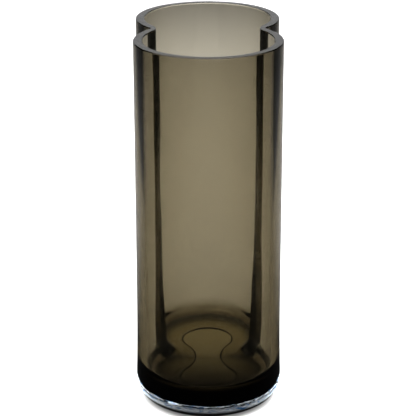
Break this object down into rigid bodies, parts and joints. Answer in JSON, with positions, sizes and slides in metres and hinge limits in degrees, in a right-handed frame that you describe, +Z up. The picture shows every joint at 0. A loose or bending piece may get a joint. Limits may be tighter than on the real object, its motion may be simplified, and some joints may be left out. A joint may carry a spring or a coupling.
{
  "type": "vase",
  "caption": "Two-lobed smoked glass vase with straight walls, creased sides, a thick rounded base with a shallow recess under it, and a flat polished rim.",
  "frame": {"origin": "middle of the foot, on the surface that the vase stands on", "axes": "+Z up from the foot to the rim, Y through the axes of both lobes with the front lobe towards -Y, X through the two side creases"},
  "size_m": [0.1186, 0.1916, 0.3],
  "materials": {
    "smoked_glass": "clear smoked olive-brown glass, fire-polished, with a cut and polished rim"
  },
  "bodies": {
    "root": {"base": "smoked_glass", "front_wall": "smoked_glass", "rear_wall": "smoked_glass"}
  },
  "joints": []
}
